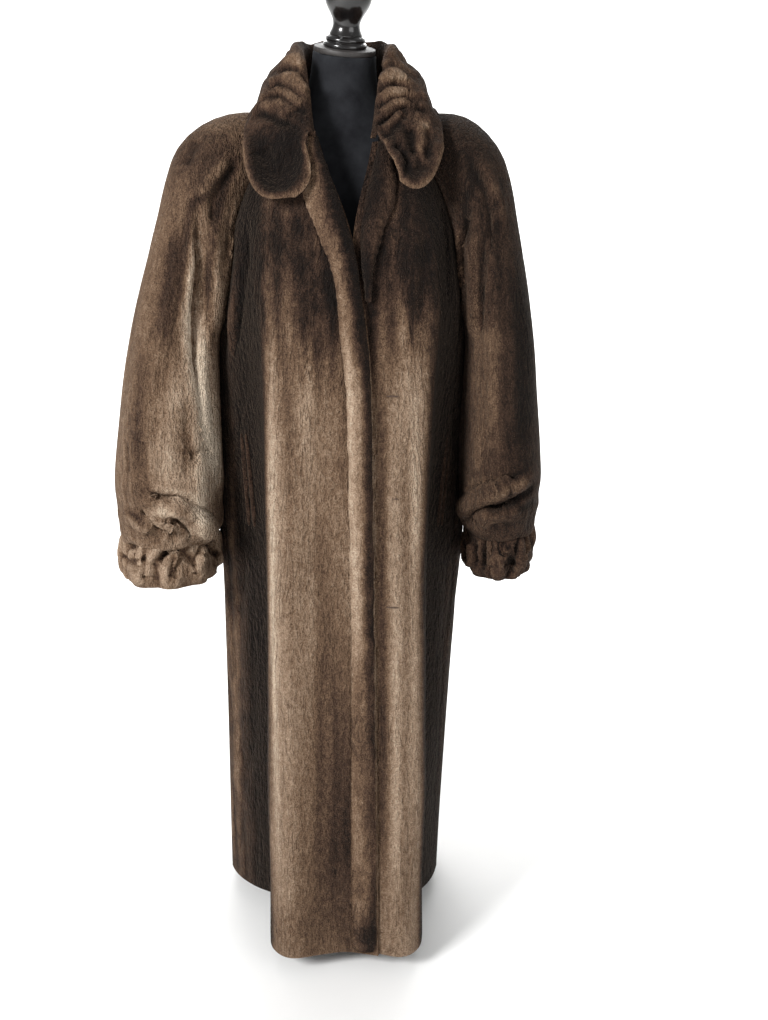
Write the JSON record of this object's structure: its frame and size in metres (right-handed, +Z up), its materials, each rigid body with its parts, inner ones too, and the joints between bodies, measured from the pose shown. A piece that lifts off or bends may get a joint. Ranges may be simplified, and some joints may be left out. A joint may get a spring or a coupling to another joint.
{
  "type": "sheared beaver coat on dress form",
  "caption": "Full-length sheared fur coat with raglan bishop sleeves, gathered cuffs and a ruched collar, on a limbless dress form with a pole and a round base.",
  "frame": {"origin": "centre of the stand base's underside", "axes": "+Z up, the coat's front faces -Y, +X is to the right of someone facing the coat"},
  "size_m": [0.6546, 0.4763, 1.4681],
  "materials": {
    "sheared_beaver": "short dense matt pile",
    "dark_thread": "matt",
    "black_velvet": "velvet",
    "satin_cap": "satin",
    "black_lacquer": "gloss lacquer",
    "painted_steel": "satin black"
  },
  "bodies": {
    "root": {"front_right": "sheared_beaver", "front_left": "sheared_beaver", "back": "sheared_beaver", "sleeve_right": "sheared_beaver", "sleeve_left": "sheared_beaver", "cuff_right": "sheared_beaver", "cuff_left": "sheared_beaver", "lapel_band_right": "sheared_beaver", "lapel_left": "sheared_beaver", "collar": "sheared_beaver", "pocket_right_front_lip": "sheared_beaver", "pocket_right_back_lip": "sheared_beaver", "pocket_left_front_lip": "sheared_beaver", "pocket_left_back_lip": "sheared_beaver", "eye_1": "dark_thread", "eye_2": "dark_thread", "eye_3": "dark_thread", "form_torso": "black_velvet", "neck_cap": "satin_cap", "finial": "black_lacquer", "pole": "painted_steel", "base": "painted_steel"}
  },
  "joints": []
}
